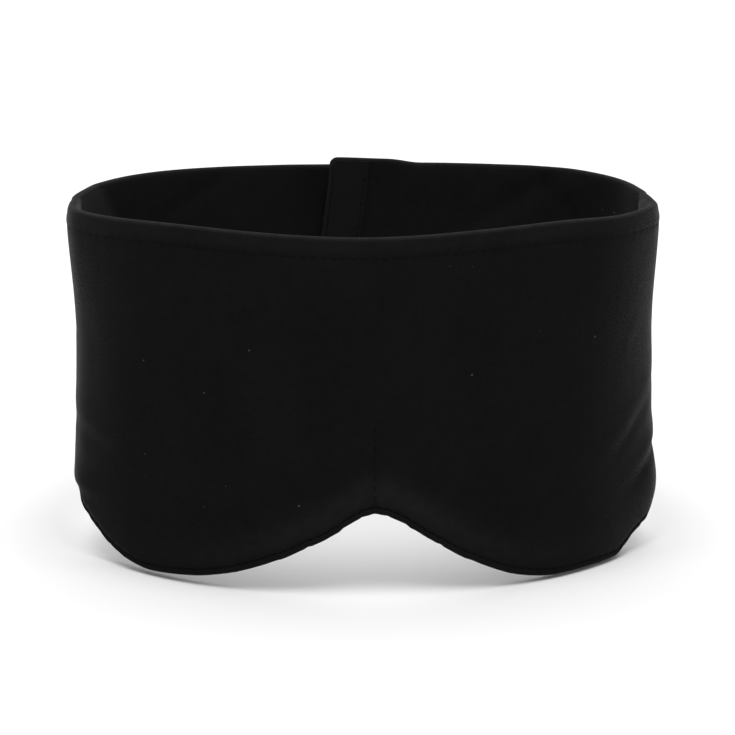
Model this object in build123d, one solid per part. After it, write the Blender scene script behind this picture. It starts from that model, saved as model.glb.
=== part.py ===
from build123d import *
import math
import os

os.makedirs("parts", exist_ok=True)

# Wraparound sleep mask, millimetres.  The front faces -Y, +X is the viewer's right
# when the front is looked at, +Z is up.  The origin is under the middle of the mask,
# level with the lowest point of the two cheek lobes.

# Plan of the closed loop, measured to the outer face of the fabric
half_width = 95.0
front_reach = 66.0
back_reach = 88.0
widest_y = (front_reach - back_reach) / 2
corner_radius = 28.0
side_radius = 190.0
straight_half = 16.0
rear_turn = 62.0
end_turn = 18.0

# Heights
rim_height = 112.0
band_low_edge = 47.0
raised_end = 3.0

# Layers of the front, from the outside inward
skin = 0.8
blackout = 0.4
front_thickness = 5.0
edge_roll = 1.2
hem_depth = 6.3
rim_rounding = 2.0

# Layers of the band and of its closure
band_thickness = 3.2
tape_thickness = 0.9
tape_gap = 0.7
overlap_depth = band_thickness + 2 * tape_thickness + tape_gap
inner_end_x = -11.0
raised_until_x = 13.0
tab_end_x = 12.0
fold_x = -15.0
facing_width = 13.5
facing_thickness = 0.5

# Side seams, where a band meets the front
seam_angle = 5.0
body_gap = 0.35
seam_offset = 2.0
seam_clearance = 3.0

# Sewing thread
thread = 0.25
stitch_width = 0.5
dart_height = 36.0

# Margin between the closure's tapes and the edges of the band
tape_margin = 4.0

# Lower edge of one half of the front: distance along the outer face from the front
# centre, and height above the lowest point
lower_edge = [
    (0.0, 25.3),
    (7.3, 22.8),
    (18.6, 15.9),
    (34.6, 7.2),
    (52.0, 1.5),
    (68.0, 0.0),
    (86.0, 1.9),
    (98.6, 6.4),
    (112.6, 15.5),
    (124.5, 22.0),
    (141.0, 28.0),
    (152.0, 31.0),
]

# Number of spans that the lower edge of the front is worked in
edge_spans = 12

# Lower edge of the bands at the side seam, and where it levels out near the back
seam_low_edge = 28.0
level_from_y = 68.0


def rear_radii(depth):
    """Radii of the two arcs that join a side to the back, for a band end set in by depth."""
    near = math.radians(end_turn)
    far = math.radians(end_turn + rear_turn)
    sine_gap = math.sin(far) - math.sin(near)
    cosine_gap = math.cos(near) - math.cos(far)
    across = half_width - straight_half - side_radius * (1 - math.sin(far))
    along = back_reach - depth - side_radius * math.cos(far)
    scale = math.sin(near) * cosine_gap - sine_gap * (1 - math.cos(near))
    end_radius = (across * cosine_gap - sine_gap * along) / scale
    turn_radius = (math.sin(near) * along - (1 - math.cos(near)) * across) / scale
    return end_radius, turn_radius


def plan_arcs(depth):
    """Arcs of the right half from front centre to back: centre, radius, first and last angle."""
    front_radius = (half_width - corner_radius) ** 2 + front_reach**2 - corner_radius**2
    front_radius = front_radius / (2 * (front_reach - corner_radius))
    sweep = math.asin((half_width - corner_radius) / (front_radius - corner_radius))
    front_end = math.degrees(sweep) - 90
    end_radius, turn_radius = rear_radii(depth)
    side_end = 90 - end_turn - rear_turn
    turn_end = 90 - end_turn
    end_centre_y = widest_y + back_reach - depth - end_radius
    step = end_radius - turn_radius
    turn_centre_x = straight_half + step * math.sin(math.radians(end_turn))
    turn_centre_y = end_centre_y + step * math.cos(math.radians(end_turn))
    front = ((0, widest_y - front_reach + front_radius), front_radius, -90, front_end)
    corner = ((half_width - corner_radius, widest_y), corner_radius, front_end, 0)
    side = ((half_width - side_radius, widest_y), side_radius, 0, side_end)
    turn = ((turn_centre_x, turn_centre_y), turn_radius, side_end, turn_end)
    end = ((straight_half, end_centre_y), end_radius, turn_end, 90)
    return [front, corner, side, turn, end]


def plan_point(arcs, distance, inset):
    """Point a given distance along the outer face from the front centre, moved inward."""
    remaining = distance
    for centre, radius, first, last in arcs:
        length = radius * math.radians(last - first)
        if remaining <= length:
            break
        remaining -= length
    angle = math.radians(first) + remaining / radius
    reach = radius - inset
    return centre[0] + reach * math.cos(angle), centre[1] + reach * math.sin(angle)


def space_below_front(lift):
    """Solid filling everything under the lower edge of the front, raised by lift."""
    arcs = plan_arcs(0)
    curves = []
    for inset in (-2, 7):
        points = []
        for distance, height in lower_edge:
            x, y = plan_point(arcs, distance, inset)
            points.append((x, y, height + lift))
        mirrored = [(-x, y, z) for x, y, z in reversed(points[1:])]
        curves.append(Spline(*mirrored, *points))
    below = []
    for step in range(edge_spans):
        first = step / edge_spans
        last = (step + 1) / edge_spans
        spans = [curve.edge().trim(first, last) for curve in curves]
        surface = Face.make_surface_from_curves(spans[0], spans[1])
        below.append(extrude(surface, amount=80, dir=(0, 0, -1)))
    return below[0].fuse(*below[1:])


def space_below_band(lift):
    """Solid filling everything under the lower edge of the bands, raised by lift."""
    seam_y = widest_y + side_radius * math.sin(math.radians(seam_angle))
    low = seam_low_edge + lift
    high = band_low_edge + lift
    bend = ((seam_y + level_from_y) / 2, (low + high) / 2 + 2.5)
    rise = ThreePointArc((seam_y, low), bend, (level_from_y, high))
    corners = [(level_from_y, high), (150, high), (150, -50), (-50, -50), (-50, low)]
    outline = [rise, Polyline(*corners), Line((-50, low), (seam_y, low))]
    side_view = Plane((0, 0, 0), x_dir=(0, 1, 0), z_dir=(1, 0, 0))
    return extrude(side_view * make_face(outline), amount=150, both=True)


def strip_face(outer_edges, inner_edges):
    """Plan face between two runs of edges that start and end side by side."""
    start = Line(outer_edges[0] @ 0, inner_edges[0] @ 0)
    finish = Line(outer_edges[-1] @ 1, inner_edges[-1] @ 1)
    return make_face(outer_edges + inner_edges + [start, finish])


def run_of_arcs(arcs, inset):
    edges = []
    for centre, radius, first, last in arcs:
        edges.append(CenterArc(centre, radius - inset, first, last - first))
    return edges


def front_arcs(end_angle):
    front, corner, side, _, _ = plan_arcs(0)
    return [front, corner, (side[0], side[1], 0, end_angle)]


def front_wall(near, far, top, lift):
    """Both halves of the front between two insets, from its lower edge up to top."""
    arcs = front_arcs(seam_angle)
    plan = strip_face(run_of_arcs(arcs, near), run_of_arcs(arcs, far))
    half = extrude(plan, amount=top)
    whole = half + mirror(half, about=Plane.YZ)
    return whole - space_below_front(lift)


def band_wall(depth, near, far, top, lift, last_x):
    """Right band between two insets, from the side seam to the end of its straight stretch."""
    _, _, side, turn, end = plan_arcs(depth)
    first = seam_angle + math.degrees(body_gap / side_radius)
    arcs = [(side[0], side[1], first, side[3]), turn, end]
    back_y = widest_y + back_reach - depth
    runs = []
    for inset in (near, far):
        line = Line((straight_half, back_y - inset), (last_x, back_y - inset))
        runs.append(run_of_arcs(arcs, inset) + [line])
    wall = extrude(strip_face(runs[0], runs[1]), amount=top)
    return wall - space_below_band(lift)


def lower_slice(near, far, low_lift, high_lift, end_angle):
    """Strip of the front that follows its lower edge, between two lifts above it."""
    arcs = front_arcs(end_angle)
    half = extrude(strip_face(run_of_arcs(arcs, near), run_of_arcs(arcs, far)), amount=60)
    whole = half + mirror(half, about=Plane.YZ)
    return (whole & space_below_front(high_lift)) - space_below_front(low_lift)


def level_line(height, end_angle):
    """Thread lying on the outer face of the front at one height."""
    arcs = front_arcs(end_angle)
    plan = strip_face(run_of_arcs(arcs, -thread), run_of_arcs(arcs, 0))
    half = Pos(0, 0, height) * extrude(plan, amount=stitch_width)
    return half + mirror(half, about=Plane.YZ)


def front_outer_panel():
    """Outer jersey with its rolled top rim and the hem turned down inside."""
    shell = front_wall(0, front_thickness, rim_height, edge_roll)
    rim = shell.faces().sort_by(Axis.Z)[-1]
    ends = 2 * front_thickness
    long_edges = [edge for edge in rim.edges() if edge.length > ends]
    shell = fillet(long_edges, rim_rounding)
    channel = front_wall(skin, front_thickness - skin, rim_height - skin, -1)
    inside = front_wall(skin, front_thickness + 2, rim_height - hem_depth, -1)
    return shell - channel - inside


def front_blackout():
    return front_wall(skin, skin + blackout, rim_height - skin, edge_roll)


def front_foam():
    inner = front_thickness - skin
    return front_wall(skin + blackout, inner, rim_height - hem_depth, edge_roll)


def hem_elastic():
    """Soft braid that gathers the top hem."""
    inner = front_thickness - skin
    arcs = front_arcs(seam_angle)
    plan = strip_face(run_of_arcs(arcs, skin + blackout), run_of_arcs(arcs, inner))
    half = Pos(0, 0, rim_height - hem_depth) * extrude(plan, amount=hem_depth - skin)
    return half + mirror(half, about=Plane.YZ)


def front_lining():
    inner = front_thickness - skin
    return front_wall(inner, front_thickness, rim_height - hem_depth, edge_roll)


def lower_binding():
    """Narrow roll that closes the lower edge of the front."""
    return lower_slice(0, front_thickness, 0, edge_roll, seam_angle)


def lower_stitching():
    """Thread on the outer face, just above the roll."""
    low = edge_roll + 0.3
    return lower_slice(-thread, 0, low, low + stitch_width, seam_angle - 1)


def dart_stitching():
    """Upright seam of the dart that rises from the nose notch."""
    front_y = widest_y - front_reach
    line = Box(stitch_width, 3, dart_height, align=(Align.CENTER, Align.CENTER, Align.MIN))
    skin_face = front_wall(-thread, 0, rim_height - hem_depth, edge_roll)
    return skin_face & Pos(0, front_y, lower_edge[0][1] + 2.5) * line


def seam_stitching(side):
    """Row of thread beside one side seam, on the front."""
    arcs = front_arcs(seam_angle)
    centre, radius, _, _ = arcs[-1]
    first = seam_angle - math.degrees((seam_offset + stitch_width) / radius)
    last = seam_angle - math.degrees(seam_offset / radius)
    spot = [(centre, radius, first, last)]
    plan = strip_face(run_of_arcs(spot, -thread), run_of_arcs(spot, 0))
    foot = seam_low_edge + seam_clearance
    row = Pos(0, 0, foot) * extrude(plan, amount=rim_height - hem_depth - seam_clearance - foot)
    if side == "left":
        row = mirror(row, about=Plane.YZ)
    return row


def tube_parts(wall, top, near_x):
    """Outer skin, elastic core and lining of a band whose wall is given as a function."""
    cavity = wall(skin, band_thickness + 2, top - skin, skin, near_x)
    outer = wall(0, band_thickness, top, 0, None) - cavity
    core = wall(skin, band_thickness - skin, top - skin, skin, near_x)
    lining = wall(band_thickness - skin, band_thickness, top - skin, skin, near_x)
    return outer, core, lining


def right_band_parts():
    """Band whose end tucks inside, with its end standing a little above the rim."""

    def wall(near, far, top, lift, last_x):
        end_x = inner_end_x if last_x is None else last_x
        solid = band_wall(overlap_depth, near, far, top, lift, end_x)
        step = top - raised_end
        beyond = Box(200, 300, 10, align=(Align.MIN, Align.CENTER, Align.MIN))
        return solid - Pos(raised_until_x, 0, step) * beyond

    return tube_parts(wall, rim_height + raised_end, inner_end_x + skin)


def left_band_parts():
    """Band on the other side, as far as the line where the closure tab folds."""

    def wall(near, far, top, lift, last_x):
        solid = band_wall(0, near, far, top, lift, -fold_x)
        return mirror(solid, about=Plane.YZ)

    return tube_parts(wall, rim_height, None)


def slab(first_x, last_x, near_y, far_y, low, high):
    """Upright block given by its limits."""
    block = Box(
        last_x - first_x,
        far_y - near_y,
        high - low,
        align=(Align.MIN, Align.MIN, Align.MIN),
    )
    return Pos(first_x, near_y, low) * block


def closure_tab_parts():
    """Free end of the left band: skin, stiffening core and lining."""
    back_y = widest_y + back_reach
    start = fold_x + body_gap
    stop = tab_end_x - skin
    low = band_low_edge
    high = rim_height
    inner = back_y - band_thickness
    whole = slab(start, tab_end_x, inner, back_y, low, high)
    hollow = slab(start - 1, stop, inner - 1, back_y - skin, low + skin, high - skin)
    core = slab(start, stop, inner + skin, back_y - skin, low + skin, high - skin)
    lining = slab(start, stop, inner, inner + skin, low + skin, high - skin)
    return whole - hollow - hook_stitching(), core, lining


def hook_tape():
    """Hook tape on the inner face of the closure tab."""
    face_y = widest_y + back_reach - band_thickness
    low = band_low_edge + tape_margin
    high = rim_height - tape_margin
    return slab(inner_end_x + 3, tab_end_x - 3, face_y - tape_thickness, face_y, low, high)


def loop_tape():
    """Loop tape on the outer face of the tucked end, long enough to adjust the fit."""
    face_y = widest_y + back_reach - overlap_depth
    low = band_low_edge + tape_margin
    high = rim_height - tape_margin
    return slab(inner_end_x + 2, straight_half, face_y, face_y + tape_thickness, low, high)


def frame_of_thread(first_x, last_x, near_y, low, high, depth):
    """Rectangle of thread on a flat face."""
    far_y = near_y + depth
    ring = slab(first_x, last_x, near_y, far_y, low, high)
    width = stitch_width
    window = slab(
        first_x + width, last_x - width, near_y - 1, far_y + 1, low + width, high - width
    )
    return ring - window


def hook_stitching():
    """Thread that holds the hook tape, pulled in level with the outside of the tab."""
    face_y = widest_y + back_reach - thread
    low = band_low_edge + tape_margin + 1
    high = rim_height - tape_margin - 1
    return frame_of_thread(inner_end_x + 4, tab_end_x - 4, face_y, low, high, thread)


def loop_stitching():
    """Thread that holds the loop tape, lying on its pile."""
    face_y = widest_y + back_reach - overlap_depth + tape_thickness
    low = band_low_edge + tape_margin + 1
    high = rim_height - tape_margin - 1
    last_x = straight_half - 1
    return frame_of_thread(inner_end_x + 3, last_x, face_y, low, high, 0.2)


def end_facing():
    """Facing strip sewn over the inner face of the tucked end."""
    far_y = widest_y + back_reach - overlap_depth - band_thickness
    low = band_low_edge + 1
    high = rim_height + raised_end - 1
    last_x = inner_end_x + facing_width
    return slab(inner_end_x, last_x, far_y - facing_thickness, far_y, low, high)


def all_nodes():
    right_outer, right_core, right_lining = right_band_parts()
    left_outer, left_core, left_lining = left_band_parts()
    tab_outer, tab_core, tab_lining = closure_tab_parts()
    return {
        "front_outer_panel": front_outer_panel(),
        "front_blackout_layer": front_blackout(),
        "front_foam_pad": front_foam(),
        "front_lining": front_lining(),
        "top_hem_elastic": hem_elastic(),
        "lower_edge_binding": lower_binding(),
        "top_hem_stitching": level_line(rim_height - hem_depth, seam_angle - 1),
        "lower_edge_stitching": lower_stitching(),
        "nose_dart_stitching": dart_stitching(),
        "left_seam_stitching": seam_stitching("left"),
        "right_seam_stitching": seam_stitching("right"),
        "left_band_outer": left_outer,
        "left_band_elastic": left_core,
        "left_band_lining": left_lining,
        "right_band_outer": right_outer,
        "right_band_elastic": right_core,
        "right_band_lining": right_lining,
        "right_end_facing": end_facing(),
        "loop_tape": loop_tape(),
        "loop_tape_stitching": loop_stitching(),
        "closure_tab_outer": tab_outer,
        "closure_tab_core": tab_core,
        "closure_tab_lining": tab_lining,
        "hook_tape": hook_tape(),
        "hook_tape_stitching": hook_stitching(),
    }


for name, solid in all_nodes().items():
    export_step(solid, f"parts/{name}.step")
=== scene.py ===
import math

import bpy
import numpy as np
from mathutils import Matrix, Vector


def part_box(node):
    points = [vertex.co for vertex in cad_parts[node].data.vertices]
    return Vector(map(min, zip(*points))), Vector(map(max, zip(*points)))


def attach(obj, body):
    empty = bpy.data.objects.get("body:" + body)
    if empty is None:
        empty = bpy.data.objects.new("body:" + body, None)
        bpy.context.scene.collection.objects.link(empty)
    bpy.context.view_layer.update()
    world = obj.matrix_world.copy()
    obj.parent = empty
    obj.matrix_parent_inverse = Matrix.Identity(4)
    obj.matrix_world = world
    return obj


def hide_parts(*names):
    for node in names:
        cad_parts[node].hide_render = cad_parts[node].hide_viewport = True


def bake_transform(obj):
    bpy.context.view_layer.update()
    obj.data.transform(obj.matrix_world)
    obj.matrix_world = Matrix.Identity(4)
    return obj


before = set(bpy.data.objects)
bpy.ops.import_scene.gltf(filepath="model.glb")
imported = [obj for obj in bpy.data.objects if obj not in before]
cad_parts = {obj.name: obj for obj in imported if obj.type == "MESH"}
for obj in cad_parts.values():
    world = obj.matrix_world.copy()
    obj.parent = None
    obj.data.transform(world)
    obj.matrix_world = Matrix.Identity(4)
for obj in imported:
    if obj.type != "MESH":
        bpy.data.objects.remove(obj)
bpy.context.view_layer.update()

# Everything is in metres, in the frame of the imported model: the front faces -Y and +Z is up.

# -------- sizes from the frame

front_low, front_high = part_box("front_outer_panel")
tab_low, tab_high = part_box("closure_tab_outer")
loop_low, loop_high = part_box("loop_tape")
right_low, right_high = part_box("right_band_outer")
facing_low, facing_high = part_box("right_end_facing")

HALF_WIDTH = front_high.x
FRONT_Y = front_low.y
BACK_Y = tab_high.y
RIM = front_high.z
BAND_LOW = tab_low.z
OVERLAP = BACK_Y - loop_low.y
FRONT_REACH = 0.066
WIDEST_Y = FRONT_Y + FRONT_REACH
BACK_REACH = BACK_Y - WIDEST_Y

# Plan of the loop: arcs of the front, the corner, the side, the rear turn and the back, then a straight.
CORNER_RADIUS = 0.028
SIDE_RADIUS = 0.190
STRAIGHT_HALF = 0.016
REAR_TURN = math.radians(62)
END_TURN = math.radians(18)
SEAM_ANGLE = math.radians(5)
PLAN_STEP = 0.0005

# Section of the wall: thicknesses, height of the top hem, and the rolled lower and upper edges.
FRONT_THICK = 0.005
BAND_THICK = tab_high.y - tab_low.y
CLOTH = 0.0007
HEM = 0.0063
ROLL = 0.0013
RIM_RADIUS = 0.0015
RIM_INSET = 0.0006


# -------- plan of the loop

class Loop:
    """Plan of one half of the mask: points and outward directions along its outer face."""

    def __init__(self, depth):
        arcs = self.arcs(depth)
        self.seam = sum(r * (b - a) for _, _, r, a, b in arcs[:2]) + SIDE_RADIUS * SEAM_ANGLE
        rows = []
        run = 0.0
        for cx, cy, radius, first, last in arcs:
            steps = max(4, int(radius * (last - first) / PLAN_STEP))
            for angle in np.linspace(first, last, steps):
                along = run + radius * (angle - first)
                rows.append((along, cx + radius * math.cos(angle), cy + radius * math.sin(angle), angle))
            run += radius * (last - first)
        self.length = run
        for extra in (0.001, 0.06):
            rows.append((run + extra, rows[-1][1] - extra, BACK_Y - depth, math.pi / 2))
        self.table = np.array(rows)

    @staticmethod
    def arcs(depth):
        front_radius = (HALF_WIDTH - CORNER_RADIUS) ** 2 + FRONT_REACH**2 - CORNER_RADIUS**2
        front_radius /= 2 * (FRONT_REACH - CORNER_RADIUS)
        sweep = math.asin((HALF_WIDTH - CORNER_RADIUS) / (front_radius - CORNER_RADIUS))
        near, far = END_TURN, END_TURN + REAR_TURN
        rows = np.array([
            [math.sin(near), math.sin(far) - math.sin(near)],
            [1 - math.cos(near), math.cos(near) - math.cos(far)],
        ])
        across = HALF_WIDTH - STRAIGHT_HALF - SIDE_RADIUS * (1 - math.sin(far))
        along = BACK_REACH - depth - SIDE_RADIUS * math.cos(far)
        end_radius, turn_radius = np.linalg.solve(rows, [across, along])
        end_y = BACK_Y - depth - end_radius
        step = end_radius - turn_radius
        turn_x = STRAIGHT_HALF + step * math.sin(near)
        turn_y = end_y + step * math.cos(near)
        quarter = math.pi / 2
        return [
            (0, FRONT_Y + front_radius, front_radius, -quarter, sweep - quarter),
            (HALF_WIDTH - CORNER_RADIUS, WIDEST_Y, CORNER_RADIUS, sweep - quarter, 0),
            (HALF_WIDTH - SIDE_RADIUS, WIDEST_Y, SIDE_RADIUS, 0, quarter - far),
            (turn_x, turn_y, turn_radius, quarter - far, quarter - near),
            (STRAIGHT_HALF, end_y, end_radius, quarter - near, quarter),
        ]

    def at(self, distance):
        """Place and outward direction on the outer face; the left half has negative distances."""
        side = np.where(distance < 0, -1.0, 1.0)
        away = np.abs(distance)
        table = self.table
        x = np.interp(away, table[:, 0], table[:, 1])
        y = np.interp(away, table[:, 0], table[:, 2])
        angle = np.interp(away, table[:, 0], table[:, 3])
        return x * side, y, np.cos(angle) * side, np.sin(angle)

    def distance_of(self, x):
        """Distance along the straight back that lies at a given x of the right half."""
        return self.length + STRAIGHT_HALF - x


outside = Loop(0.0)
tucked = Loop(OVERLAP)
SEAM = outside.seam


def bump(value, centre, width):
    """Smooth hill of height 1."""
    return np.exp(-(((value - centre) / width) ** 2))


def smooth_step(value, start, end):
    """Smooth rise from 0 to 1."""
    t = np.clip((value - start) / (end - start), 0, 1)
    return t * t * (3 - 2 * t)


def lowest_line(nodes, loop):
    """Height of the lower edge against distance from the front centre, read off the CAD nodes."""
    heights = {}
    table = loop.table
    for node in nodes:
        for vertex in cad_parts[node].data.vertices:
            x, y, z = vertex.co
            gap = np.hypot(table[:, 1] - abs(x), table[:, 2] - y)
            nearest = int(np.argmin(gap))
            if gap[nearest] < 0.0006:
                key = round(float(table[nearest, 0]), 3)
                heights[key] = min(heights.get(key, 1.0), z)
    below_rim = 0.03
    low = sorted(key for key in heights if heights[key] < RIM - below_rim)
    return np.array(low), np.array([heights[key] for key in low])


front_line = lowest_line(["lower_edge_binding"], outside)
band_line = lowest_line(["left_band_outer"], outside)


# Where the lower edge is cut unevenly: how much higher, at what distance, over what width.
UNEVEN_EDGE = [
    (0.0017, -0.050, 0.020), (-0.0012, -0.013, 0.008), (-0.0062, 0.1215, 0.0190),
    (-0.0030, 0.090, 0.011), (-0.0012, -0.114, 0.012), (-0.0024, 0.113, 0.010), (0.0005, -0.068, 0.009),
]
FLOOR_GAP = 0.0002


def low_at(distance):
    """Height of the mask's lower edge, cut a little unevenly left and right."""
    away = np.abs(distance)
    low = np.where(away <= SEAM, np.interp(away, *front_line), np.interp(away, *band_line))
    for rise, at, width in UNEVEN_EDGE:
        low = low + rise * bump(distance, at, width)
    return np.maximum(low, FLOOR_GAP)


def rim_at(distance):
    """Height of the top rim, which rises over each eye and dips between them."""
    away = np.abs(distance)
    dip = 0.0009 * bump(away, 0.0, 0.030)
    rise = 0.0010 * bump(away, 0.066, 0.026) + 0.0005 * bump(distance, 0.030, 0.028)
    rise = rise - 0.0005 * bump(distance, 0.088, 0.016)
    return RIM - 0.0002 - dip + rise


def edges_at(distance):
    """Heights of the top rim and of the lower edge at one distance."""
    return float(rim_at(distance)), float(low_at(distance))


# -------- shape of the cloth

# The sizes of folds, waves and puckers below are from the photo, in metres.

def fold(distance, height, at, level, length, depth, slope, width):
    """One soft crease, a shallow groove with a rounded lip above it, centred at a distance and level."""
    line = level + slope * (distance - at)
    fade = bump(distance, at, length)
    return depth * fade * (0.8 * bump(height, line + 1.5 * width, width) - bump(height, line, 0.6 * width))


# Creases near the lower corners: side, then what fold asks for.
CREASES = [
    (-1, 0.114, 0.0195, 0.014, 0.0007, 0.05, 0.0030), (-1, 0.108, 0.040, 0.016, 0.0004, 0.20, 0.0040),
    (1, 0.114, 0.030, 0.014, 0.0007, 0.42, 0.0034), (1, 0.100, 0.042, 0.017, 0.0004, 0.60, 0.0042),
]


def lean(distance, height):
    """How far the whole wall stands out from its plan: flared at the rim, drawn in at mid height."""
    away = np.abs(distance)
    side = smooth_step(away, 0.055, 0.118)
    left = np.where(distance < 0, 1.0, 0.0)
    flare = (0.0026 - 0.0002 * left) * smooth_step(height, 0.068, 0.110)
    bulge = (0.0023 - 0.0016 * left) * bump(height, 0.019, 0.011) * smooth_step(away, 0.09, 0.12)
    out = side * (flare - 0.0017) + bulge
    for crease_side, *crease in CREASES:
        share = left if crease_side < 0 else 1 - left
        out = out + share * fold(away, height, *crease)
    slow = 0.0004 * np.sin(distance * 47 + height * 38 + 0.6) + 0.0003 * np.sin(distance * 83 - height * 51)
    return out + slow * smooth_step(height - low_at(distance), 0.0, 0.012)


def cheek(distance, height):
    """Fullness of the two lobes under the eyes."""
    away = np.abs(distance)
    return 0.0011 * bump(away, 0.062, 0.034) * bump(height, 0.034, 0.026)


def dart(distance, height):
    """Pinched seam that rises from the nose notch and fades out."""
    low = low_at(0.0)
    fade = 1 - smooth_step(height, low + 0.010, low + 0.030)
    groove = -0.0004 * bump(distance, 0.0, 0.0009)
    lips = 0.0006 * (bump(distance, 0.0024, 0.0017) + bump(distance, -0.0024, 0.0017))
    return fade * (groove + lips)


def hem_puff(distance, height):
    """Soft roll of the hem above its topstitching, with small puckers."""
    below_rim = rim_at(distance) - height
    roll = 0.0003 * bump(below_rim, 0.0036, 0.0022) - 0.00022 * bump(below_rim, HEM, 0.0008)
    puckers = 0.00006 * np.sin(distance * 1500 + 1.7 * np.sin(distance * 90))
    return roll + puckers * bump(below_rim, HEM, 0.0016)


def front_out(distance, height):
    """Outer face of the front: how far it stands out from the plan."""
    above = height - low_at(distance)
    pinch = -(0.0003 + 0.0005 * bump(distance, 0.0, 0.030)) * bump(above, 0.0024, 0.0012)
    puckers = 0.00007 * np.sin(np.abs(distance) * 1400 + 2.1 * np.sin(distance * 70))
    pinch = pinch + puckers * bump(above, 0.0032, 0.0018)
    near_seam = -0.0006 * bump(np.abs(distance), SEAM, 0.0016)
    field = cheek(distance, height) + dart(distance, height) + hem_puff(distance, height)
    return field + pinch + near_seam + relief.read(0, distance, height)


def front_in(distance, height):
    """Inner face of the front: how far it swells towards the face."""
    above = height - low_at(distance)
    pinch = -0.0008 * bump(above, 0.0024, 0.0012)
    below_rim = rim_at(distance) - height
    hem = -0.0003 * bump(below_rim, HEM, 0.0010)
    near_seam = -0.0014 * bump(np.abs(distance), SEAM, 0.0030) * smooth_step(below_rim, RIM_RADIUS, HEM)
    field = 0.4 * cheek(distance, height) + relief.read(1, distance, height)
    return field + pinch + hem + near_seam


def place_front(distance, depth, height):
    """Point of the front at a distance from its centre, a depth into the wall and a height."""
    x, y, nx, ny = outside.at(distance)
    share = np.clip(depth / FRONT_THICK, -0.1, 1.1)
    out = lean(distance, height) - depth
    out = out + (1 - share) * front_out(distance, height) - share * front_in(distance, height)
    ends = 0.0003 * bump(np.abs(distance), SEAM, 0.0012)
    height = height - ends * np.clip((height - (low_at(distance) + RIM) / 2) / 0.020, -1, 1)
    return np.stack([x + nx * out, y + ny * out, height + 0 * x], -1)


def band_wave(distance, height, side):
    """Slack of a band: long shallow waves, with slanting wrinkles inside the rear turn."""
    away = np.abs(distance)
    clear = smooth_step(away, SEAM, SEAM + 0.02) * (1 - smooth_step(away, 0.235, 0.258))
    out = 0.0007 * np.sin(away * 74 + side) * bump(height, 0.09, 0.05)
    slant = (height - RIM) + (away - 0.215) * 0.55 * side
    out = out + 0.0007 * bump(slant, -0.012, 0.004) * bump(away, 0.215, 0.03)
    slant = (height - RIM) - (away - 0.190) * 0.8 * side
    out = out + 0.0008 * bump(slant, -0.018, 0.0045) * bump(away, 0.190, 0.022)
    return clear * out


def place_band(loop, side, end=None, lift=None, slant=None):
    """Placing function of a band on one side of the mask, as far as an optional rounded end."""

    def place(distance, depth, height):
        shift = slant(distance, height) if slant is not None else 0.0
        x, y, nx, ny = loop.at((distance + shift) * side)
        away = np.abs(distance)
        middle = BAND_THICK / 2
        share = depth / BAND_THICK
        held = 1 - smooth_step(away, SEAM, SEAM + 0.005)
        out = lean(distance * side, height) * (1 - smooth_step(away, SEAM, SEAM + 0.05))
        out = out + band_wave(distance, height, side) - 0.0005 * held + 0.2 * held * (depth - middle)
        low = low_at(distance * side)
        middle_height = (low + RIM) / 2
        height = height - 0.0003 * held * np.clip((height - middle_height) / 0.020, -1, 1)
        flat = smooth_step(height - low, 0, 0.004) * smooth_step(rim_at(away) - height, 0, 0.004)
        puff = 0.00035 * flat * (1 - smooth_step(away, 0.255, 0.262)) * (1 - held)
        out = out - depth + puff * (1 - 2 * share)
        if end is not None:
            closing = np.clip((away - (end - BAND_THICK / 2)) / (BAND_THICK / 2), 0, 1)
            keep = np.sqrt(np.clip(1 - closing**2, 0.02, 1))
            out = out + (depth - middle) * (1 - keep)
            corner = np.clip((away - (end - 0.003)) / 0.003, 0, 1)
            round_off = 0.003 * (1 - np.sqrt(np.clip(1 - corner**2, 0, 1)))
            height = height - round_off * np.clip((height - middle_height) / 0.025, -1, 1)
        if lift is not None:
            height = height + lift(away) * smooth_step(height, BAND_LOW + 0.01, RIM)
        return np.stack([x + nx * out, y + ny * out, height + 0 * x], -1)

    return place


# -------- meshes

SHARP_ANGLE = math.radians(62)


def add_object(name, data):
    """New object in the scene."""
    thing = bpy.data.objects.new(name, data)
    bpy.context.scene.collection.objects.link(thing)
    return thing


def mesh_object(name, points, faces, uvs=None, painted_highlight=None):
    """New smooth mesh, with its weave coordinates and its share of painted highlight if it has them."""
    mesh = bpy.data.meshes.new(name)
    mesh.from_pydata([tuple(p) for p in points], [], [tuple(int(i) for i in f) for f in faces])
    if uvs is not None:
        layer = mesh.uv_layers.new(name="weave")
        index = np.empty(len(mesh.loops), int)
        mesh.loops.foreach_get("vertex_index", index)
        layer.data.foreach_set("uv", np.asarray(uvs, np.float32)[index].ravel())
    if painted_highlight is not None:
        mesh.attributes.new("painted_highlight", "FLOAT", "POINT").data.foreach_set("value", painted_highlight.astype(np.float32))
    mesh.shade_smooth()
    return add_object(name, mesh)


def grid_faces(rows, columns, closed):
    """Quads between rows of points; closed joins the last column to the first."""
    faces = []
    span = columns if closed else columns - 1
    for i in range(rows - 1):
        for j in range(span):
            k = (j + 1) % columns
            faces.append((i * columns + j, i * columns + k, (i + 1) * columns + k, (i + 1) * columns + j))
    return faces


def slab_faces(columns, rows):
    """Faces of a closed slab whose points are two equal grids, one for each face."""
    count = columns * rows
    faces = grid_faces(columns, rows, False)
    faces += [tuple(i + count for i in face[::-1]) for face in faces]
    border = list(range(rows)) + [i * rows + rows - 1 for i in range(1, columns)]
    border += [(columns - 1) * rows + j for j in range(rows - 2, -1, -1)]
    border += [i * rows for i in range(columns - 2, 0, -1)]
    faces += [(b, a, a + count, b + count) for a, b in zip(border, border[1:] + border[:1])]
    return faces


def tube_faces(base, rings, sides):
    """Faces of a closed tube whose rings of points start at index base."""
    faces = [tuple(base + i for i in face) for face in grid_faces(rings, sides, True)]
    first, last = base, base + (rings - 1) * sides
    return faces + [tuple(first + k for k in range(sides))[::-1], tuple(last + k for k in range(sides))]


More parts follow.
